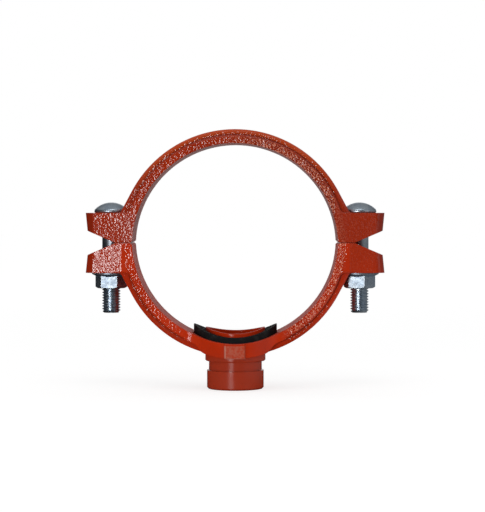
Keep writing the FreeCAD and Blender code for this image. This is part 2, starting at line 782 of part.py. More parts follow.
def clear_below(body, name):
    """Cut away all that lies below the parting plane."""
    sketch = new_sketch(body, name + "_plan", "XY_Plane")
    frame_outline(sketch)
    feature = body.newObject("PartDesign::Pocket", name)
    feature.Profile = sketch
    feature.Type = "ThroughAll"
    return feature


def barrel(body, name, reach, centre, length):
    """A cylinder that lies along the pipe's direction, with its axis above the origin."""
    sketch = new_sketch(body, name + "_profile", "XZ_Plane")
    number = sketch.addGeometry(Part.Circle(Vector(0, centre, 0), Vector(0, 0, 1), reach))
    on_axis(sketch, number, CENTRE)
    up(sketch, number, CENTRE, centre)
    radius(sketch, number, reach)
    return pad(body, name, sketch, length, symmetric=True)


def pocket_form():
    """What the gasket pocket takes away: a round plug whose far end follows the ring."""
    body = new_body("pocket_form")
    barrel(body, "pocket_floor", layout.floor_radius, -sizes.bore_offset, layout.gasket_span)
    trim_to_plan(body, "pocket_wall", layout.pocket_radius)
    clear_below(body, "pocket_lower")
    return body


def turned_outline(sketch, corners):
    """A closed outline of straight lines to turn about the vertical axis, from reaches and heights."""
    points = [Vector(reach, height, 0) for reach, height in corners]
    pieces = [line(sketch, point, points[(i + 1) % len(points)]) for i, point in enumerate(points)]
    join(sketch, pieces)
    for piece, (reach, height) in zip(pieces, corners):
        if reach:
            across(sketch, piece[0], START, reach)
        else:
            on_axis(sketch, piece[0], START)
        if height:
            up(sketch, piece[0], START, height)
        else:
            constrain(sketch, "PointOnObject", piece[0], START, HORIZONTAL_AXIS)


def branch(body):
    """The locating collar inside the ring and the grooved branch outside it, turned as one."""
    sketch = new_sketch(body, "branch_profile", "XZ_Plane")
    turned_outline(sketch, [
        (0, layout.root_depth),
        (layout.collar_radius, layout.root_depth),
        (layout.collar_radius, layout.wall_depth),
        (layout.shoulder_radius, layout.wall_depth),
        (layout.shoulder_radius, layout.groove_top),
        (layout.groove_radius, layout.groove_top),
        (layout.groove_radius, layout.land_top),
        (layout.land_radius, layout.land_top),
        (layout.land_radius, layout.branch_depth),
        (0, layout.branch_depth)])
    return revolve(body, "branch", "PartDesign::Revolution", sketch)


def branch_bore(body):
    """The waterway: straight through the branch, then opening out to the mouth of the collar."""
    sketch = new_sketch(body, "bore_profile", "XZ_Plane")
    turned_outline(sketch, [
        (0, layout.root_clear),
        (layout.mouth_radius, layout.root_clear),
        (layout.mouth_radius, layout.mouth_depth),
        (layout.waterway_radius, layout.ring_depth),
        (layout.waterway_radius, layout.branch_clear),
        (0, layout.branch_clear)])
    return revolve(body, "branch_bore", "PartDesign::Groove", sketch)


def collar_rim(body):
    """Trim the collar's mouth to a curve that follows the inside of the run pipe."""
    sketch = new_sketch(body, "rim_profile", "XZ_Plane")
    circle = Part.Circle(Vector(0, layout.rim_centre, 0), Vector(0, 0, 1), layout.rim_radius)
    number = sketch.addGeometry(circle)
    on_axis(sketch, number, CENTRE)
    radius(sketch, number, layout.rim_radius)
    up(sketch, number, CENTRE, layout.rim_centre)
    return pocket_through(body, "collar_rim", sketch)


def round_edge_at(reach, height):
    """A test that picks the full circle of this radius at this height."""
    def chosen(edge):
        box = edge.BoundBox
        return (box.ZLength < NEAR and abs(box.ZMin - height) < NEAR
                and abs(box.XLength - 2 * reach) < NEAR)
    return chosen


def make_strap():
    """The upper half of the ring."""
    body = new_body("strap_housing")
    ring_section(body)
    shape_lugs(body, layout.strap_taper_start)
    return body


def make_outlet():
    """The lower half, modelled branch up and then turned over about the pipe's direction."""
    body = new_body("outlet_housing")
    ring_section(body)
    saddle_block(body)
    saddle_trim(body)
    shape_lugs(body, layout.outlet_taper_start)
    doc.recompute()
    cut_form(body, pocket_form())
    branch(body)
    branch_bore(body)
    rim = collar_rim(body)
    end_edge = round_edge_at(layout.land_radius, layout.branch_depth)
    shoulder_edge = round_edge_at(layout.shoulder_radius, layout.groove_top)
    end = bevel(body, "branch_end_edge", rim, end_edge, sizes.branch_end_bevel)
    bevel(body, "shoulder_edge", end, shoulder_edge, sizes.shoulder_bevel)
    body.Placement = TURNED_OVER
    return body


def make_gasket():
    """The rubber ring: saddle-shaped above and below, standing proud of the bore."""
    body = new_body("gasket")
    side = new_sketch(body, "gasket_side_profile", "XZ_Plane")
    wide = layout.gasket_clear
    top_radius = layout.gasket_top_radius
    floor = layout.gasket_floor
    top_centre = Vector(0, layout.gasket_top_centre, 0)
    top_angle = math.degrees(math.acos(wide / top_radius))
    floor_angle = math.degrees(math.acos(wide / floor))
    top_right = polar(top_centre, top_radius, top_angle)
    top_left = polar(top_centre, top_radius, 180 - top_angle)
    floor_left = polar(RING_CENTRE, floor, 180 - floor_angle)
    floor_right = polar(RING_CENTRE, floor, floor_angle)
    top_arc = arc(side, top_centre, top_radius, top_angle, 180 - top_angle)
    left = line(side, top_left, floor_left)
    floor_arc = arc(side, RING_CENTRE, floor, 180 - floor_angle, floor_angle)
    right = line(side, floor_right, top_right)
    join(side, [top_arc, left, floor_arc, right])
    place_ring_arcs(side, {floor_arc[0]: layout.gasket_floor})
    on_axis(side, top_arc[0], CENTRE)
    up(side, top_arc[0], CENTRE, layout.gasket_top_centre)
    radius(side, top_arc[0], layout.gasket_top_radius)
    constrain(side, "Vertical", left[0])
    constrain(side, "Vertical", right[0])
    across(side, right[0], START, layout.gasket_clear)
    across(side, left[0], START, -layout.gasket_clear)
    pad(body, "gasket_block", side, layout.gasket_span, symmetric=True)
    trim_to_plan(body, "gasket_outside", layout.gasket_radius)
    drill(body, "gasket_opening", layout.gasket_hole)
    body.Placement = TURNED_OVER
    return body


def make_bolt(side_name, side):
    """A track bolt: crowned head, oval neck and plain shank, upright through its two lugs."""
    body = new_body(side_name + "_bolt")
    sketch = new_sketch(body, body.Label + "_profile", "XZ_Plane")
    turned_outline(sketch, [
        (0, -layout.bolt_length),
        (layout.point_radius, -layout.bolt_length),
        (layout.shank_radius, -layout.point_height),
        (layout.shank_radius, 0),
        (layout.head_radius, 0),
        (layout.head_radius, sizes.head_edge),
        (layout.crown_radius, sizes.head_height),
        (0, sizes.head_height)])
    revolve(body, body.Label + "_turned", "PartDesign::Revolution", sketch)

    neck = new_sketch(body, body.Label + "_neck_profile", "XY_Plane")
    oval_outline(neck, -layout.neck_right, layout.neck_right, layout.neck_radius)
    pad(body, body.Label + "_neck", neck, sizes.neck_length, reverse=True)
    body.setExpression("Placement.Base.x", expression(side * layout.bolt_reach))
    body.setExpression("Placement.Base.z", expression(sizes.seat_height))
    return body


def nut_hexagon(body):
    """The nut's six flats, hanging from its seat."""
    sketch = new_sketch(body, body.Label + "_hexagon", "XY_Plane")
    centre = Vector(0, 0, 0)
    corners = [polar(centre, layout.corner_radius, 2 * HALF_SIDE * i) for i in range(NUT_SIDES)]
    sides = [line(sketch, corner, corners[(i + 1) % NUT_SIDES]) for i, corner in enumerate(corners)]
    join(sketch, sides)
    guide = circle_at_origin(sketch, layout.corner_radius, helper=True)
    for piece, _, _ in sides:
        constrain(sketch, "PointOnObject", piece, START, guide)
    for piece, _, _ in sides[1:]:
        constrain(sketch, "Equal", sides[0][0], piece)
    constrain(sketch, "PointOnObject", sides[0][0], START, HORIZONTAL_AXIS)
    return pad(body, body.Label + "_hex", sketch, sizes.nut_height, reverse=True)


def nut_bevel(body):
    """The bevel that takes the corners off the nut's lower end."""
    sketch = new_sketch(body, body.Label + "_bevel_profile", "XZ_Plane")
    turned_outline(sketch, [(layout.bevel_start, -sizes.nut_height), (layout.bevel_far, -layout.bevel_top),
                            (layout.bevel_far, -layout.nut_clear), (layout.bevel_start, -layout.nut_clear)])
    return revolve(body, body.Label + "_bevel", "PartDesign::Groove", sketch)


def make_nut(side_name, side):
    """A hex nut with its own round flange, seated under the lower lug."""
    body = new_body(side_name + "_nut")
    nut_hexagon(body)
    nut_bevel(body)
    disc = new_sketch(body, body.Label + "_flange_profile", "XZ_Plane")
    turned_outline(disc, [(0, 0), (layout.flange_radius, 0), (layout.flange_radius, -sizes.flange_edge),
                          (layout.flat_radius, -layout.cone_foot), (0, -layout.cone_foot)])
    revolve(body, body.Label + "_flange", "PartDesign::Revolution", disc)
    drill(body, body.Label + "_bore", layout.thread_radius)
    body.Placement = FreeCAD.Placement(Vector(0, 0, 0), FreeCAD.Rotation(Vector(0, 0, 1), sizes.nut_clock))
    body.setExpression("Placement.Base.x", expression(side * layout.bolt_reach))
    body.setExpression("Placement.Base.z", expression(-(sizes.seat_height + sizes.nut_seat_gap)))
    return body


def check_document():
    """Stop if any object of the document failed."""
    for item in doc.Objects:
        if {"Invalid", "Error"} & set(item.State):
            raise RuntimeError("%s failed: %s" % (item.Name, item.getStatusString()))


def main():
    """Build every piece, check it and write its file."""
    pieces = [make_strap(), make_outlet(), make_gasket()]
    for side_name, side in (("left", -1), ("right", 1)):
        pieces.append(make_bolt(side_name, side))
        pieces.append(make_nut(side_name, side))
    doc.recompute()
    check_document()
    os.makedirs("parts", exist_ok=True)
    for piece in pieces:
        if piece.Shape.isNull() or not piece.Shape.isValid():
            raise RuntimeError(piece.Label + " has no sound shape")
        piece.Shape.exportStep("parts/%s.step" % piece.Label)


main()
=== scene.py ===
import math

import bmesh
import bpy
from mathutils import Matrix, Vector


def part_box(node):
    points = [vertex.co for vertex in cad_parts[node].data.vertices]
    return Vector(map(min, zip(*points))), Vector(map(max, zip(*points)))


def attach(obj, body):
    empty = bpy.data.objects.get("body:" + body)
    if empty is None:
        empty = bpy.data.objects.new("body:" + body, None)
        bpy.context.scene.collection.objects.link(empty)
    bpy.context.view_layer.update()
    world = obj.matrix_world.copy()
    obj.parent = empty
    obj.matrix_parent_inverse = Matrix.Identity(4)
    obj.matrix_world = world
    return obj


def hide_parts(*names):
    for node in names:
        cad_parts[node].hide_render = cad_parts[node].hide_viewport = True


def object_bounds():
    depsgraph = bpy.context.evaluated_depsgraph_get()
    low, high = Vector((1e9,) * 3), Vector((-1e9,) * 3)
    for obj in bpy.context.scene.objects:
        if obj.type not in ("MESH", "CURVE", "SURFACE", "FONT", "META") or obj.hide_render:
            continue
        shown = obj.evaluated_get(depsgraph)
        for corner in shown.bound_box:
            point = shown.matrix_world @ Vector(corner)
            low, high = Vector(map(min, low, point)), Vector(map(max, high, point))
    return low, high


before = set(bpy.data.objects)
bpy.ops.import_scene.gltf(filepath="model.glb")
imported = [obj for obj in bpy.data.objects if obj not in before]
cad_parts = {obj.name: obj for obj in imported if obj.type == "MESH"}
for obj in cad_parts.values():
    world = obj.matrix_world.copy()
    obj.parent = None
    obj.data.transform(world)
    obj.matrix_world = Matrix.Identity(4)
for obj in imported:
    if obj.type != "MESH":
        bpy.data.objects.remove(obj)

# Looks of the grooved mechanical tee: enamelled castings, zinc-plated bolts and nuts, rubber gasket.
# Metres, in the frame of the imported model: +Y along the pipe, +Z up, the branch pointing down.

MM = 0.001
CAD_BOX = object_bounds()

# How far past the parting plane the castings' arcs have their centres
HALF_CENTRE = 2.7 * MM

# Meshes: the points in a turn, how close together two points are made one, and the angle in degrees up to
# which faces are shaded as one curve
TURN_STEPS = 72
WELD = 0.002 * MM
SMOOTH_ANGLE = 35

# Thread of the track bolts, 11 turns to the inch. Its profile gives points along one pitch, each by its share
# of the pitch and of the depth.
THREAD_PITCH = 25.4 / 11 * MM
THREAD_DEPTH = 1.25 * MM
THREAD_LENGTH = 44.5 * MM
THREAD_POINT = 1.5 * MM
NUT_THREAD_GAP = 0.06 * MM
THREAD_PROFILE = ((0.0, 0), (0.19, 0), (0.50, 1), (0.69, 1))
SHANK_RADIUS = 7.8 * MM

# Bolt head and neck. HEAD_SHOULDER gives points under the crown, by how far they lie in from the rim and
# below the edge's top, and HEAD_CROWN_IN how far in the crown begins, all in shares of HEAD_ROUND. SHANK_TOP
# is the stretch of shank next to the head that has its own row of faces.
HEAD_HEIGHT = 8.9 * MM
HEAD_EDGE = 2.5 * MM
HEAD_ROUND = 0.9 * MM
HEAD_SHOULDER = ((0, 1), (0.12, 0.4))
HEAD_CROWN_IN = 0.45
HEAD_STEPS = 16
SHANK_TOP = 2 * MM
NECK_RADIUS = 8.2 * MM
NECK_REACH = 3.4 * MM
NECK_LENGTH = 7.5 * MM
NECK_IN_HEAD = 0.2 * MM

# A round's middle point lies this share of its radius from both its sides
ROUND_MIDDLE = 0.3

# Flange nuts, and how many degrees each stands turned about +Z
NUT_ACROSS = 23.8 * MM
NUT_BEVEL = 11.6 * MM
NUT_BEVEL_ANGLE = 30
NUT_MOUTH = 8.9 * MM
FLANGE_RADIUS = 16.5 * MM
FLANGE_EDGE = 1.5 * MM
FLANGE_ROUND = 0.4 * MM
FLANGE_SLOPE = 25
NUT_CLOCK = {"left_nut": -5, "right_nut": -15}
NUT_SMOOTH_ANGLE = 25

# Gasket: its walls, the curves of its top and floor, its edges and the groove behind its lip, whose points
# are given in shares of the gasket's width and of the groove's depth. The floor follows the housing's arc.
GASKET_INNER = 26.0 * MM
GASKET_OUTER = 35.4 * MM
GASKET_TOP_RADIUS = 64.0 * MM
GASKET_TOP_CENTRE = -15.4 * MM
GASKET_FLOOR_RADIUS = 92.5 * MM
GASKET_FOOT = 0.4 * MM
GASKET_ROUND = 0.7 * MM
GROOVE_DEPTH = 1.6 * MM
GROOVE_SHAPE = ((0.50, 0), (0.55, 0.15), (0.60, 0.85), (0.66, 1), (0.72, 0.85), (0.77, 0.15), (0.82, 0))
GASKET_STEPS = 192
GASKET_CORNER_STEPS = 4

# Camera of the photograph: its place, the size of the picture, the pixel straight ahead of it, and its focal
# length in pixels
CAMERA_PLACE = Vector((0.021, -1.5, 0.026))
IMAGE_SIZE = (485, 512)
STRAIGHT_AHEAD = (260, 212)
FOCAL_PIXELS = 1758
SENSOR = 36
CLIP = (0.01, 30)

# Light all round, and the room as gloss shows it: dark, but white at the back and grey overhead and on the
# right. The pairs are shares of +Y, +Z and +X in a direction, where each begins and where it is full.
WHITE = (1, 1, 1, 1)
WORLD_LIGHT = 0.6
ROOM_BACKWARD = (0.8, 1.0)
ROOM_UPWARD = (0.2, 0.9)
ROOM_RIGHTWARD = (0.35, 0.95)
ROOM_DARK = 0.015
ROOM_LIGHT = 1.0
ROOM_TOP = 0.3
ROOM_RIGHT = 0.22

# Floor: its reach, its own colour, and for the camera its share of shade and its glow, near and far
FLOOR_HALF = 4.0
FLOOR_FRONT = -0.85
FLOOR_BACK = 9.0
FLOOR_COLOUR = (238, 238, 238)
FLOOR_SHADE = 0.35
FLOOR_GLOW = 0.76
FLOOR_FAR_GLOW = 0.79
FLOOR_GLOW_REACH = (0.3, 2.0)

# Lamps: name, place, width, height and watts. They all face the middle.
MIDDLE = Vector((0, 0, 0))
LAMPS = (
    ("key", (-1.15, -3.1, 0.0), 0.85, 0.6, 28),
    ("right_box", (1.1, -0.9, 0.35), 0.8, 0.8, 1),
    ("overhead", (0, -0.7, 1.2), 0.8, 0.8, 3),
)

# Each casting's enamel: where its lugs' pebbled skin begins, how deep the relief is on the lugs and on the
# left of the band, how much the lugs' tapered faces fall away to the tip, and its paints as they look on
# screen, of which rib is the rib's paint, on the strap a painted highlight, and under the one that the
# painted glints lie on. Both castings wear one enamel: the strap's paints are darker as painted shade and
# the outlet's lighter as painted light.
# Painted shade: the strap's paints are darker than the outlet's
STRAP_ENAMEL = {
    "skin_from": 84 * MM, "lug_relief": 0.55, "band_relief": 1.2, "fall": 0.14,
    "bright": (158, 42, 9), "dark": (142, 35, 7), "rib": (184, 70, 26), "under": (104, 25, 6),
}
# Painted light: the outlet's paints are lighter than the strap's
OUTLET_ENAMEL = {
    "skin_from": 96.3 * MM, "lug_relief": 1.0, "band_relief": 0.9, "fall": 0.03,
    "bright": (186, 46, 10), "dark": (170, 41, 9), "rib": (172, 46, 12), "under": (158, 34, 6),
}

# How far the rib's paint and the one under the painted glints cover, and then the paints that both castings
# share, each as it looks on screen and with how far it covers: among them painted shade in the crease and on
# the lugs' tips, the painted glints, a painted highlight on the pad's rim, and the edges' wear and painted
# highlight
RIB_COVER = 0.7
UNDER_COVER = 0.6
PAINT_CREASE_SHADE = ((92, 20, 5), 0.45)
PAINT_GLINT = ((222, 140, 112), 0.7)
PAINT_BRANCH = ((174, 55, 27), 1)
PAINT_LUG = ((150, 42, 18), 0.7)
PAINT_TIP_SHADE = ((116, 28, 8), 0.7)
PAINT_THIN = ((176, 66, 34), 0.3)
PAINT_PAD = ((178, 98, 78), 1)
PAINT_PAD_RIM_HIGHLIGHT = ((200, 146, 130), 0.6)
PAINT_WEAR_AND_HIGHLIGHT = ((176, 72, 42), 1)

# Enamel's skin: its grains, how much of grit and pools the smooth skin has, the depth of a relief of 1, the
# relief on the right of the band and where it gets there, and the edges' round and their wear and painted
# highlight
PEBBLE = 2.2 * MM
GRIT = 1.15 * MM
POOL = 9 * MM
SMOOTH_GRIT = 0.06
SMOOTH_POOL = 0.35
RELIEF = 0.2 * MM
RELIEF_RIGHT = 2.2
RELIEF_ACROSS = (-20 * MM, 40 * MM)
EDGE_ROUND = 0.8 * MM
EDGE_WEAR_AND_HIGHLIGHT = 0.7 * MM

# Edges as shading finds them, by how far rounding turns the surface: how many samples it takes, and the
# cosine of that turn where an edge begins to show and where it is full
BEVEL_SAMPLES = 6
EDGE_COSINE = (0.999, 0.88)

# Sizes of the patches in the enamel's paint and gloss
CLOUD = 40 * MM
GLINT_SIZE = 1.1 * MM
RUBBED = 2.2 * MM
WEAR_AND_HIGHLIGHT_PATCH = 3 * MM
SHEEN = 14 * MM

# Added roughness of the branch and of the bore's wall
BRANCH_DULL = 0.1
BORE_DULL = 0.45

# Which way a face has to look, as the share of its normal along Y or X: the lugs' tapered fronts and backs,
# the flat faces that have painted glints, and the bore's wall
TAPER_Y = (0.9, 0.95)
TAPER_X = (0.03, 0.06)
GLINTS_Y = (0.6, 0.9)
BORE_Y = (0.6, 0.3)

# Where the castings' zones lie. Each pair says where a zone begins to show and where it is full. Rings are
# measured from each half's own centre, past the parting plane, and only BAND_OUT from the middle.
LUG_STEP = 0.7 * MM
LUG_END = (120.5 * MM, 118.5 * MM)
TIP = (117.5 * MM, 121 * MM)
BAND_OUT = (95.5 * MM, 92.5 * MM)
OFF_SADDLE_SIDE = (38 * MM, 50 * MM)
OFF_SADDLE_HEIGHT = (-60 * MM, -50 * MM)
BRANCH = (-94 * MM, -99 * MM)
BORE = (88.2 * MM, 87.4 * MM)
RIB_IN = (94.2 * MM, 95.4 * MM)
RIB_SIDE = (98 * MM, 60 * MM)
CREASE_RADIUS = 93.9 * MM
CREASE_WIDTH = (1.3 * MM, 0.3 * MM)
CREASE_SIDE = (92 * MM, 88 * MM)
GLINTS_ACROSS = (-25 * MM, 30 * MM)
GLINTS_OUT = (93.6 * MM, 92.8 * MM)
GLINTS_SIDE = (100 * MM, 94 * MM)
PAD_SIDE = (9.2 * MM, 8.0 * MM)
PAD_FRONT = (-20 * MM, -21 * MM)
PAD_TOP = (-84.6 * MM, -85.8 * MM)
PAD_FOOT = (-97.8 * MM, -96.8 * MM)
PAD_RIM_LEFT = (-7.3 * MM, -7.8 * MM)
PAD_RIM_FOOT = (-95.4 * MM, -95.9 * MM)

# Zinc plate and rubber as they look on screen, with the painted highlight on their edges and how far it
# covers, the width of those edges, and how much duller the plate's dullest patches are
ZINC_BRIGHT = (200, 212, 222)
ZINC_PATCH = (176, 192, 208)
ZINC_MARK = (150, 166, 184)
ZINC_EDGE_HIGHLIGHT = ((226, 232, 236), 0.5)
ZINC_HIGHLIGHT_WIDTH = 0.5 * MM
ZINC_DULLER = 0.08
RUBBER_PLAIN = (24, 24, 25)
RUBBER_BLOOM = (42, 42, 41)
RUBBER_EDGE_HIGHLIGHT = ((66, 66, 64), 0.35)
RUBBER_HIGHLIGHT_WIDTH = 0.6 * MM


def linear(red, green, blue):
    """A colour as it looks on screen, from 0 to 255, as a shader takes it."""
    def channel(value):
        share = value / 255
        return share / 12.92 if share <= 0.04045 else ((share + 0.055) / 1.055) ** 2.4
    return (channel(red), channel(green), channel(blue), 1)


class Nodes:
    """The node tree of a material or world, with short ways to add nodes and join them."""

    def __init__(self, owner):
        owner.use_nodes = True
        self.owner = owner
        self.tree = owner.node_tree
        self.tree.nodes.clear()

    def add(self, kind, settings=None, **inputs):
        """Add a node, set its properties and give each input a value or a link."""
        node = self.tree.nodes.new("ShaderNode" + kind)
        for key, value in (settings or {}).items():
            setattr(node, key, value)
        for key, value in inputs.items():
            self.give(node.inputs[key.replace("_", " ")], value)
        return node

    def give(self, socket, value):
        """Set a socket or link something to it."""
        if isinstance(value, bpy.types.NodeSocket):
            self.tree.links.new(value, socket)
        else:
            socket.default_value = value

    def math(self, operation, first, second=0.0):
        """One step of arithmetic."""
        node = self.add("Math", {"operation": operation})
        self.give(node.inputs[0], first)
        self.give(node.inputs[1], second)
        return node.outputs[0]

    def product(self, first, *others):
        """Multiply values."""
        for other in others:
            first = self.math("MULTIPLY", first, other)
        return first

    def length(self, first, second):
        """How long the diagonal of two sides is."""
        return self.math("SQRT", self.math("ADD", self.product(first, first), self.product(second, second)))

    def spread(self, value, low, high, to_low=0.0, to_high=1.0):
        """Map a range onto another one, smoothly and without going past its ends."""
        node = self.add("MapRange", {"interpolation_type": "SMOOTHSTEP"}, Value=value)
        node.inputs["From Min"].default_value = low
        node.inputs["From Max"].default_value = high
        node.inputs["To Min"].default_value = to_low
        node.inputs["To Max"].default_value = to_high
        return node.outputs["Result"]

    def mix(self, factor, first, second):
        """Blend two colours."""
        node = self.add("Mix", {"data_type": "RGBA"})
        self.give(node.inputs["Factor"], factor)
        self.give(node.inputs[6], first)
        self.give(node.inputs[7], second)
        return node.outputs[2]

    def coat(self, paint, mask, colour, cover):
        """Lay a colour, given as it looks on screen, over a paint, as far as mask times cover."""
        return self.mix(self.product(mask, cover), paint, linear(*colour))

    def blend(self, factor, first, second):
        """Blend two numbers."""
        node = self.add("Mix", {"data_type": "FLOAT"})
        self.give(node.inputs["Factor"], factor)
        self.give(node.inputs[2], first)
        self.give(node.inputs[3], second)
        return node.outputs[0]

    def noise(self, place, size, detail=2.0, roughness=0.5):
        """Soft noise whose grains are about this many metres across."""
        node = self.add("TexNoise", Vector=place, Scale=1 / size, Detail=detail, Roughness=roughness)
        return node.outputs["Fac"]

    def patches(self, place, size, low, high, to_low=0.0, to_high=1.0, detail=2.0):
        """Soft patches: noise whose values between low and high are spread over another range."""
        return self.spread(self.noise(place, size, detail), low, high, to_low, to_high)

    def edges(self, radius):
        """How near a point is to an edge of the shape, from 0 on a flat face to 1."""
        bevel = self.add("Bevel", {"samples": BEVEL_SAMPLES}, Radius=radius)
        plain = self.add("NewGeometry").outputs["Normal"]
        dot = self.add("VectorMath", {"operation": "DOT_PRODUCT"})
        self.give(dot.inputs[0], bevel.outputs[0])
        self.give(dot.inputs[1], plain)
        return self.spread(dot.outputs["Value"], *EDGE_COSINE)

    def join(self, kind, first, second, factor=None):
        """Add two shaders, or mix them by a factor."""
        node = self.add(kind)
        if factor is not None:
            self.give(node.inputs[0], factor)
        self.tree.links.new(first.outputs[0], node.inputs[-2])
        self.tree.links.new(second.outputs[0], node.inputs[-1])
        return node

    def finish(self, shader):
        """Make this shader the surface and hand the material over."""
        output = self.add("OutputMaterial")
        self.tree.links.new(shader.outputs[0], output.inputs["Surface"])
        return self.owner


class CastingNodes(Nodes):
    """The nodes of a casting's enamel, with the coordinates and masks that its parts share.

    The masks are on_lug, off_saddle, and cast for all of the pebbled skin, on band and lugs.
    """

    def __init__(self, owner, skin_from):
        super().__init__(owner)
        self.place = self.add("TexCoord").outputs["Object"]
        split = self.add("SeparateXYZ", Vector=self.place)
        self.across = split.outputs["X"]
        self.depth = split.outputs["Y"]
        self.height = split.outputs["Z"]
        self.side = self.math("ABSOLUTE", self.across)
        from_centre = self.math("ADD", self.math("ABSOLUTE", self.height), HALF_CENTRE)
        self.ring = self.length(self.across, from_centre)
        facing = self.add("SeparateXYZ", Vector=self.add("NewGeometry").outputs["Normal"])
        self.flat_x = self.math("ABSOLUTE", facing.outputs["X"])
        self.flat_y = self.math("ABSOLUTE", facing.outputs["Y"])
        self.grit = self.noise(self.place, GRIT, 0.6, 0.4)
        self.on_lug = self.product(self.spread(self.side, skin_from - LUG_STEP, skin_from + LUG_STEP),
                                   self.spread(self.side, *LUG_END))
        self.off_saddle = self.math("MAXIMUM", self.spread(self.side, *OFF_SADDLE_SIDE),
                                    self.spread(self.height, *OFF_SADDLE_HEIGHT))
        on_band = self.spread(self.length(self.across, self.height), *BAND_OUT)
        self.cast = self.product(self.math("MAXIMUM", self.on_lug, on_band), self.off_saddle)


def enamel_relief(nodes, enamel):
    """The cast skin: pebbles and grit on band and lugs, faint pools elsewhere, edges rounded by shading."""
    pebbles = nodes.add("TexVoronoi", {"feature": "SMOOTH_F1"}, Vector=nodes.place, Scale=1 / PEBBLE,
                        Smoothness=0.5, Randomness=1.0).outputs["Distance"]
    pool = nodes.noise(nodes.place, POOL)
    band_relief = nodes.spread(nodes.across, *RELIEF_ACROSS, enamel["band_relief"], RELIEF_RIGHT)
    relief = nodes.blend(nodes.on_lug, band_relief, enamel["lug_relief"])
    rough_skin = nodes.product(nodes.math("SUBTRACT", nodes.grit, pebbles), relief)
    smooth_skin = nodes.math("ADD", nodes.product(nodes.grit, SMOOTH_GRIT), nodes.product(pool, SMOOTH_POOL))
    skin = nodes.blend(nodes.cast, smooth_skin, rough_skin)
    tapered = nodes.product(nodes.spread(nodes.flat_y, *TAPER_Y), nodes.spread(nodes.flat_x, *TAPER_X))
    slope = nodes.product(nodes.side, tapered, -enamel["fall"] / RELIEF)
    soft = nodes.add("Bevel", {"samples": BEVEL_SAMPLES}, Radius=EDGE_ROUND)
    bump = nodes.add("Bump", Strength=1.0, Distance=RELIEF, Height=nodes.math("ADD", skin, slope),
                     Normal=soft.outputs[0])
    return bump.outputs[0]


def ground_paint(nodes, enamel):
    """A casting's own paint in broad clouds, with the rib's paint and painted shade in the rib's crease."""
    cloud = nodes.patches(nodes.place, CLOUD, 0.35, 0.65, detail=3.0)
    paint = nodes.mix(cloud, linear(*enamel["bright"]), linear(*enamel["dark"]))
    # On the strap a painted highlight: the rib's lighter paint stands in for light from above on its rim
    on_rib = nodes.product(nodes.spread(nodes.ring, *RIB_IN), nodes.off_saddle,
                           nodes.spread(nodes.side, *RIB_SIDE))
    paint = nodes.coat(paint, on_rib, enamel["rib"], RIB_COVER)
    # Painted shade: a dark line in the crease between rib and band, where shade falls
    off_line = nodes.math("ABSOLUTE", nodes.math("SUBTRACT", nodes.ring, CREASE_RADIUS))
    crease_shade = nodes.product(nodes.spread(off_line, *CREASE_WIDTH), nodes.spread(nodes.side, *CREASE_SIDE),
                           nodes.off_saddle)
    return nodes.coat(paint, crease_shade, *PAINT_CREASE_SHADE)


def painted_glints(nodes, enamel, paint):
    """Painted glints: pale spots, over a darker paint, on flat faces of the band, more of them to the right.
    """
    on_faces = nodes.product(nodes.spread(nodes.ring, *GLINTS_OUT), nodes.off_saddle,
                             nodes.spread(nodes.across, *GLINTS_ACROSS),
                             nodes.spread(nodes.side, *GLINTS_SIDE), nodes.spread(nodes.flat_y, *GLINTS_Y))
    # Painted glints: pale spots that stand in for lamps mirrored in the band's enamel
    glint_spots = nodes.patches(nodes.place, GLINT_SIZE, 0.53, 0.61, detail=1.0)
    paint = nodes.coat(paint, on_faces, enamel["under"], UNDER_COVER)
    return nodes.coat(paint, nodes.product(on_faces, glint_spots), *PAINT_GLINT)


def zone_paint(nodes, paint):
    """The paint of branch and lugs, painted shade on the lugs' tips, and thin spots on the pebbled skin."""
    paint = nodes.coat(paint, nodes.spread(nodes.height, *BRANCH), *PAINT_BRANCH)
    paint = nodes.coat(paint, nodes.on_lug, *PAINT_LUG)
    # Painted shade: the lugs' rounded tips darker, as they turn away from the light
    paint = nodes.coat(paint, nodes.spread(nodes.side, *TIP), *PAINT_TIP_SHADE)
    thin = nodes.product(nodes.spread(nodes.grit, 0.52, 0.68), nodes.cast)
    return nodes.coat(paint, thin, *PAINT_THIN)


def pad_paint(nodes, paint):
    """Rubbed, paler enamel on the saddle's bare front pad, and painted highlight on its left and lower rim.
    """
    pad = nodes.product(nodes.spread(nodes.side, *PAD_SIDE), nodes.spread(nodes.depth, *PAD_FRONT),
                        nodes.spread(nodes.height, *PAD_TOP), nodes.spread(nodes.height, *PAD_FOOT))
    rubbed = nodes.patches(nodes.place, RUBBED, 0.35, 0.65, 0.25, 0.75, detail=3.0)
    paint = nodes.coat(paint, nodes.product(pad, rubbed), *PAINT_PAD)
    # Painted highlight: the pad's left and lower rim lighter, as light catches them
    rim_highlight = nodes.math("MAXIMUM", nodes.spread(nodes.across, *PAD_RIM_LEFT),
                     nodes.spread(nodes.height, *PAD_RIM_FOOT))
    return nodes.coat(paint, nodes.product(pad, rim_highlight), *PAINT_PAD_RIM_HIGHLIGHT)


def wear_and_highlight_paint(nodes, paint):
    """Edges on which the enamel shows wear in patches, its lighter colour partly a painted highlight."""
    wear_and_highlight = nodes.patches(nodes.place, WEAR_AND_HIGHLIGHT_PATCH, 0.4, 0.7, 0.1, 0.5)
    # Wear and painted highlight: edges lighter in patches
    return nodes.coat(paint, nodes.product(nodes.edges(EDGE_WEAR_AND_HIGHLIGHT), wear_and_highlight), *PAINT_WEAR_AND_HIGHLIGHT)


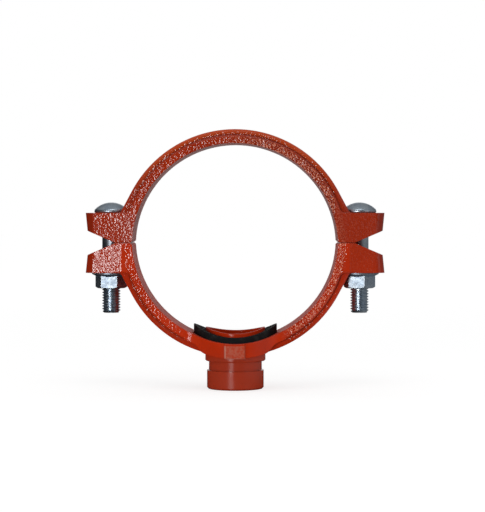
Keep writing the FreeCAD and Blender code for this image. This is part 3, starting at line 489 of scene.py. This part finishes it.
def enamel_gloss(nodes):
    """Roughness: glossy with soft patches, duller on the branch and much duller in the bore."""
    gloss = nodes.patches(nodes.place, SHEEN, 0.3, 0.7, 0.09, 0.14)
    in_bore = nodes.spread(nodes.flat_y, *BORE_Y, 0.0, BORE_DULL)
    gloss = nodes.math("ADD", gloss, nodes.product(nodes.spread(nodes.ring, *BORE), in_bore))
    return nodes.math("ADD", gloss, nodes.spread(nodes.height, *BRANCH, 0.0, BRANCH_DULL))


def make_enamel(name, enamel):
    """Glossy orange-red enamel over a cast skin that is pebbled on band and lugs and smooth elsewhere."""
    nodes = CastingNodes(bpy.data.materials.new(name), enamel["skin_from"])
    paint = ground_paint(nodes, enamel)
    paint = painted_glints(nodes, enamel, paint)
    paint = zone_paint(nodes, paint)
    paint = pad_paint(nodes, paint)
    paint = wear_and_highlight_paint(nodes, paint)
    shader = nodes.add("BsdfPrincipled", Base_Color=paint, Roughness=enamel_gloss(nodes),
                       Normal=enamel_relief(nodes, enamel), IOR=1.5)
    return nodes.finish(shader)


def make_zinc(name, dull, relief, cover):
    """Bright zinc plate with a faint blue tint, patches, fine marks and a painted highlight on its edges.

    dull is its lowest roughness, relief the height of its marks, and cover how far their colour covers.
    """
    nodes = Nodes(bpy.data.materials.new(name))
    place = nodes.add("TexCoord").outputs["Object"]
    patch = nodes.patches(place, 7 * MM, 0.35, 0.7, detail=3.0)
    marks = nodes.noise(place, 1.2 * MM)
    plate = nodes.mix(patch, linear(*ZINC_BRIGHT), linear(*ZINC_PATCH))
    plate = nodes.coat(plate, nodes.spread(marks, 0.45, 0.65), ZINC_MARK, cover)
    # Painted highlight: the plate lighter on its edges
    plate = nodes.coat(plate, nodes.edges(ZINC_HIGHLIGHT_WIDTH), *ZINC_EDGE_HIGHLIGHT)
    rough = nodes.patches(place, 3 * MM, 0.3, 0.7, dull, dull + ZINC_DULLER, detail=3.0)
    bump = nodes.add("Bump", Strength=1.0, Distance=relief, Height=marks)
    shader = nodes.add("BsdfPrincipled", Base_Color=plate, Metallic=1.0, Roughness=rough,
                       Normal=bump.outputs[0])
    return nodes.finish(shader)


def make_rubber():
    """Moulded black rubber with a dusty bloom and a painted highlight on its edges."""
    nodes = Nodes(bpy.data.materials.new("black_rubber_finish"))
    place = nodes.add("TexCoord").outputs["Object"]
    bloom = nodes.patches(place, 8 * MM, 0.45, 0.75, detail=4.0)
    grain = nodes.noise(place, 0.5 * MM, 3.0)
    rubber = nodes.mix(bloom, linear(*RUBBER_PLAIN), linear(*RUBBER_BLOOM))
    # Painted highlight: the rubber lighter on its edges and lips
    rubber = nodes.coat(rubber, nodes.edges(RUBBER_HIGHLIGHT_WIDTH), *RUBBER_EDGE_HIGHLIGHT)
    rough = nodes.spread(bloom, 0, 1, 0.7, 0.9)
    bump = nodes.add("Bump", Strength=0.3, Distance=0.08 * MM, Height=grain)
    shader = nodes.add("BsdfPrincipled", Base_Color=rubber, Roughness=rough, Normal=bump.outputs[0],
                       Specular_IOR_Level=0.08)
    return nodes.finish(shader)


def room_gloss(nodes, way):
    """How light the room is one way, as gloss shows it: white at the back, grey overhead and on the right."""
    split = nodes.add("SeparateXYZ", Vector=way)
    back = nodes.spread(split.outputs["Y"], *ROOM_BACKWARD, ROOM_DARK, ROOM_LIGHT)
    above = nodes.spread(split.outputs["Z"], *ROOM_UPWARD, 0.0, ROOM_TOP)
    right = nodes.spread(split.outputs["X"], *ROOM_RIGHTWARD, 0.0, ROOM_RIGHT)
    return nodes.math("MAXIMUM", back, nodes.math("MAXIMUM", above, right))


def backdrop_rays(nodes, path):
    """Rays that see the backdrop as it is: the camera's, and those that go through something."""
    return nodes.math("MAXIMUM", path.outputs["Is Camera Ray"], path.outputs["Is Transmission Ray"])


def make_floor_paint():
    """Pale floor, seen as white with the object's shadow, and by gloss as the room in that direction."""
    nodes = Nodes(bpy.data.materials.new("pale_floor"))
    path = nodes.add("LightPath")
    place = nodes.add("TexCoord").outputs["Object"]
    way = nodes.add("VectorMath", {"operation": "NORMALIZE"}, Vector=place)
    reach = nodes.add("VectorMath", {"operation": "LENGTH"}, Vector=place).outputs["Value"]
    matt = nodes.add("BsdfDiffuse", Color=linear(*FLOOR_COLOUR))
    faint = nodes.add("BsdfDiffuse", Color=(FLOOR_SHADE, FLOOR_SHADE, FLOOR_SHADE, 1))
    strength = nodes.spread(reach, *FLOOR_GLOW_REACH, FLOOR_GLOW, FLOOR_FAR_GLOW)
    glow = nodes.add("Emission", Color=WHITE, Strength=strength)
    white = nodes.join("AddShader", faint, glow)
    mirrored = nodes.add("Emission", Color=WHITE, Strength=room_gloss(nodes, way.outputs[0]))
    lit = nodes.join("MixShader", matt, mirrored, path.outputs["Is Glossy Ray"])
    return nodes.finish(nodes.join("MixShader", lit, white, backdrop_rays(nodes, path)))


def mesh_object(name, points, faces, material, smooth_angle=SMOOTH_ANGLE):
    """A new object from points and faces, shaded smooth up to an angle."""
    mesh = bpy.data.meshes.new(name)
    mesh.from_pydata(points, [], faces)
    mesh.validate()
    shape = bmesh.new()
    shape.from_mesh(mesh)
    bmesh.ops.remove_doubles(shape, verts=shape.verts, dist=WELD)
    bmesh.ops.recalc_face_normals(shape, faces=shape.faces)
    shape.to_mesh(mesh)
    shape.free()
    piece = bpy.data.objects.new(name, mesh)
    bpy.context.scene.collection.objects.link(piece)
    mesh.materials.append(material)
    mesh.polygons.foreach_set("use_smooth", [True] * len(mesh.polygons))
    mesh.set_sharp_from_angle(angle=math.radians(smooth_angle))
    return piece


def skin_rows(rows, helix=0, closed=True):
    """Faces between rows of points that go round, and a cap on each end row if closed.

    The first rows, helix of them, wind: each one ends where the row a turn further up begins.
    """
    count = len(rows[0])
    points = [point for row in rows for point in row]

    def begins(r):
        return min(r + len(THREAD_PROFILE), helix - 1) if r < helix else r

    faces = []
    for r in range(len(rows) - 1):
        for i in range(count - 1):
            faces.append((r * count + i, r * count + i + 1, (r + 1) * count + i + 1, (r + 1) * count + i))
        i = count - 1
        faces.append((r * count + i, begins(r) * count, begins(r + 1) * count, (r + 1) * count + i))
    if closed:
        last = (len(rows) - 1) * count
        faces.append(tuple(reversed(range(count))))
        faces.append(tuple(range(last, last + count)))
    return points, faces


def ring_row(centre, radius, height, clock=0.0):
    """A round row of points; radius and height are numbers, or lists with one for each point."""
    row = []
    for i in range(TURN_STEPS):
        angle = clock + 2 * math.pi * i / TURN_STEPS
        out = radius[i] if isinstance(radius, list) else radius
        level = height[i] if isinstance(height, list) else height
        row.append(Vector((centre.x + out * math.cos(angle), centre.y + out * math.sin(angle), level)))
    return row


def thread_rows(centre, low, high, crest, root, limit, clock=0.0):
    """Rows that wind as one helical ridge between two heights; limit corrects the radius near the ends.

    The turns past both ends lie flat on them, and their points are made one by mesh_object.
    """
    first = math.floor(low / THREAD_PITCH) - 2
    last = math.ceil(high / THREAD_PITCH) + 1
    rows = []
    for turn in range(first, last):
        for share, depth in THREAD_PROFILE:
            heights = [(turn + share + clock / (2 * math.pi) + i / TURN_STEPS) * THREAD_PITCH
                       for i in range(TURN_STEPS)]
            heights = [min(max(height, low), high) for height in heights]
            radii = [limit(height, crest + (root - crest) * depth) for height in heights]
            rows.append(ring_row(centre, radii, heights, clock))
    return rows


def head_rows(centre, head, seat):
    """Rows of points for a bolt's head: an edge with rounds below and above, and a dome on top."""
    edge = [(head - HEAD_ROUND, 0), (head - ROUND_MIDDLE * HEAD_ROUND, ROUND_MIDDLE * HEAD_ROUND)]
    edge += [(head, HEAD_ROUND)]
    edge += [(head - inset * HEAD_ROUND, HEAD_EDGE - drop * HEAD_ROUND) for inset, drop in HEAD_SHOULDER]
    rows = [ring_row(centre, radius, seat + height) for radius, height in edge]
    rise = HEAD_HEIGHT - HEAD_EDGE
    dome = (head ** 2 + rise ** 2) / (2 * rise)
    for step in range(HEAD_STEPS):
        radius = (head - HEAD_CROWN_IN * HEAD_ROUND) * math.cos(math.pi / 2 * step / HEAD_STEPS)
        height = HEAD_HEIGHT - dome + math.sqrt(dome ** 2 - radius ** 2)
        rows.append(ring_row(centre, radius, seat + height))
    return rows


def make_bolt(node, steel):
    """A track bolt with a domed head, oval neck and helical thread, in the place of its plain solid."""
    low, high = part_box(node)
    centre = (low + high) / 2
    seat = high.z - HEAD_HEIGHT
    shank = SHANK_RADIUS
    thread_top = low.z + THREAD_LENGTH

    def limit(height, radius):
        run_out = min(max((height - (thread_top - THREAD_PITCH)) / THREAD_PITCH, 0), 1)
        point = shank - THREAD_POINT + (height - low.z)
        return min(radius + (shank - radius) * run_out, point) if radius < shank else min(shank, point)

    rows = thread_rows(centre, low.z, thread_top, shank, shank - THREAD_DEPTH, limit)
    helix = len(rows)
    rows.append(ring_row(centre, shank, seat - SHANK_TOP))
    rows.append(ring_row(centre, shank, seat))
    rows += head_rows(centre, (high.x - low.x) / 2, seat)
    points, faces = skin_rows(rows, helix)
    piece = mesh_object(node + "_threaded", points, faces, steel)
    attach(piece, "strap")
    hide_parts(node)
    make_neck(node, centre, seat, steel)


def make_neck(node, centre, seat, steel):
    """The oval neck under a bolt's head, which stands in the lug's slot."""
    neck_row = []
    for i in range(TURN_STEPS):
        angle = 2 * math.pi * i / TURN_STEPS
        shift = NECK_REACH if math.cos(angle) > 0 else -NECK_REACH
        neck_row.append((shift + NECK_RADIUS * math.cos(angle), NECK_RADIUS * math.sin(angle)))
    neck_rows = [[Vector((centre.x + x, centre.y + y, height)) for x, y in neck_row]
                 for height in (seat - NECK_LENGTH, seat + NECK_IN_HEAD)]
    points, faces = skin_rows(neck_rows)
    neck = mesh_object(node + "_neck", points, faces, steel)
    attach(neck, "strap")


def make_nut(node, steel):
    """A flange nut with bevelled corners and its own helical thread, in the place of its plain solid."""
    low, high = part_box(node)
    centre = (low + high) / 2
    crest = SHANK_RADIUS + NUT_THREAD_GAP
    root = crest - THREAD_DEPTH
    clock = math.radians(NUT_CLOCK[node])

    def limit(height, radius):
        return max(radius, NUT_MOUTH - min(height - low.z, high.z - height))

    rows = thread_rows(centre, low.z, high.z, crest, root, limit, clock)
    helix = len(rows)
    for inset, drop in ((FLANGE_ROUND, 0), (ROUND_MIDDLE * FLANGE_ROUND, ROUND_MIDDLE * FLANGE_ROUND),
                        (0, FLANGE_ROUND), (0, FLANGE_EDGE - FLANGE_ROUND / 2),
                        (FLANGE_ROUND / 2, FLANGE_EDGE)):
        rows.append(ring_row(centre, FLANGE_RADIUS - inset, high.z - drop, clock))
    turn = 2 * math.pi / TURN_STEPS
    flat = math.radians(60)
    hexagon = [NUT_ACROSS / 2 / math.cos((i * turn) % flat - flat / 2) for i in range(TURN_STEPS)]
    slope = math.tan(math.radians(FLANGE_SLOPE))
    bevel = math.tan(math.radians(NUT_BEVEL_ANGLE))
    cone = [high.z - FLANGE_EDGE - (FLANGE_RADIUS - out) * slope for out in hexagon]
    rows.append(ring_row(centre, hexagon, cone, clock))
    rows.append(ring_row(centre, hexagon, [low.z + (out - NUT_BEVEL) * bevel for out in hexagon], clock))
    rows.append(ring_row(centre, NUT_BEVEL, low.z, clock))
    rows.append(ring_row(centre, NUT_MOUTH, low.z, clock))
    points, faces = skin_rows(rows, helix, closed=False)
    piece = mesh_object(node + "_flanged", points, faces, steel, NUT_SMOOTH_ANGLE)
    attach(piece, node)
    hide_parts(node)


def gasket_outline():
    """The gasket's section, walked round.

    Each point says how far in from the outer wall it lies, from which face, and how far below that face.
    """
    corner = []
    for step in range(GASKET_CORNER_STEPS + 1):
        angle = math.pi / 2 * step / GASKET_CORNER_STEPS
        corner.append((GASKET_ROUND * (1 - math.cos(angle)), GASKET_ROUND * (1 - math.sin(angle))))
    width = GASKET_OUTER - GASKET_INNER
    outline = [(GASKET_FOOT, "floor", 0), (0, "floor", -GASKET_FOOT)]
    outline += [(inset, "top", drop) for inset, drop in corner]
    outline += [(width * share, "top", GROOVE_DEPTH * depth) for share, depth in GROOVE_SHAPE]
    outline += [(width - inset, "top", drop) for inset, drop in reversed(corner)]
    outline += [(width, "floor", -GASKET_FOOT), (width - GASKET_FOOT, "floor", 0)]
    return outline


def make_gasket(node, rubber):
    """The saddle gasket with soft edges and the groove behind its lip, in the place of its plain solid."""
    outline = gasket_outline()
    points = []
    for i in range(GASKET_STEPS):
        angle = 2 * math.pi * i / GASKET_STEPS
        for inset, face, drop in outline:
            x = (GASKET_OUTER - inset) * math.cos(angle)
            y = (GASKET_OUTER - inset) * math.sin(angle)
            top = GASKET_TOP_CENTRE - math.sqrt(GASKET_TOP_RADIUS ** 2 - x ** 2)
            floor = HALF_CENTRE - math.sqrt(GASKET_FLOOR_RADIUS ** 2 - x ** 2)
            points.append((x, y, (top if face == "top" else floor) - drop))
    count = len(outline)
    faces = []
    for i in range(GASKET_STEPS):
        here, there = i * count, (i + 1) % GASKET_STEPS * count
        for j in range(count):
            k = (j + 1) % count
            faces.append((here + j, here + k, there + k, there + j))
    piece = mesh_object(node + "_moulded", points, faces, rubber)
    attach(piece, "outlet")
    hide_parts(node)


def make_floor():
    """A wide pale floor under the end of the branch."""
    height = CAD_BOX[0].z
    points = [(-FLOOR_HALF, FLOOR_FRONT, height), (FLOOR_HALF, FLOOR_FRONT, height),
              (FLOOR_HALF, FLOOR_BACK, height), (-FLOOR_HALF, FLOOR_BACK, height)]
    floor = mesh_object("floor", points, [(0, 1, 2, 3)], make_floor_paint())


def make_area_light(name, place, width, height, power):
    """A soft rectangular light that faces the middle."""
    lamp = bpy.data.lights.new(name, "AREA")
    lamp.shape = "RECTANGLE"
    lamp.size = width
    lamp.size_y = height
    lamp.energy = power
    holder = bpy.data.objects.new(name, lamp)
    holder.location = place
    holder.rotation_euler = (MIDDLE - Vector(place)).to_track_quat("-Z", "Y").to_euler()
    bpy.context.scene.collection.objects.link(holder)


def make_world():
    """A white backdrop, plain light from all round, and for gloss the room."""
    world = bpy.data.worlds.new("studio")
    bpy.context.scene.world = world
    nodes = Nodes(world)
    room = room_gloss(nodes, nodes.add("TexCoord").outputs["Generated"])
    path = nodes.add("LightPath")
    strength = nodes.blend(path.outputs["Is Glossy Ray"], WORLD_LIGHT, room)
    strength = nodes.blend(backdrop_rays(nodes, path), strength, 1.0)
    background = nodes.add("Background", Color=WHITE, Strength=strength)
    output = nodes.add("OutputWorld")
    nodes.tree.links.new(background.outputs[0], output.inputs["Surface"])


def make_camera():
    """The photograph's camera, which looks level along the pipe."""
    data = bpy.data.cameras.new("camera")
    camera = bpy.data.objects.new("camera", data)
    bpy.context.scene.collection.objects.link(camera)
    camera.location = CAMERA_PLACE
    camera.rotation_euler = (math.radians(90), 0, 0)
    long_side = max(IMAGE_SIZE)
    data.sensor_width = SENSOR
    data.lens = FOCAL_PIXELS * SENSOR / long_side
    data.shift_x = (IMAGE_SIZE[0] / 2 - STRAIGHT_AHEAD[0]) / long_side
    data.shift_y = (STRAIGHT_AHEAD[1] - IMAGE_SIZE[1] / 2) / long_side
    data.clip_start, data.clip_end = CLIP
    bpy.context.scene.camera = camera


strap_enamel = make_enamel("red_enamel_strap", STRAP_ENAMEL)
outlet_enamel = make_enamel("red_enamel_outlet", OUTLET_ENAMEL)
bolt_zinc = make_zinc("zinc_steel_bolt", dull=0.3, relief=0.01 * MM, cover=0.15)
nut_zinc = make_zinc("zinc_steel_nut", dull=0.42, relief=0.06 * MM, cover=0.8)
rubber = make_rubber()
for name, paint in (("strap_housing", strap_enamel), ("outlet_housing", outlet_enamel), ("gasket", rubber),
                    ("left_nut", nut_zinc), ("right_nut", nut_zinc), ("left_bolt", bolt_zinc),
                    ("right_bolt", bolt_zinc)):
    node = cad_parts[name]
    node.data.materials.clear()
    node.data.materials.append(paint)
for side in ("left", "right"):
    make_bolt(side + "_bolt", bolt_zinc)
    make_nut(side + "_nut", nut_zinc)
make_gasket("gasket", rubber)
make_floor()
for name, place, width, height, power in LAMPS:
    make_area_light(name, place, width, height, power)
make_world()
make_camera()
bpy.context.scene.view_settings.view_transform = "Standard"
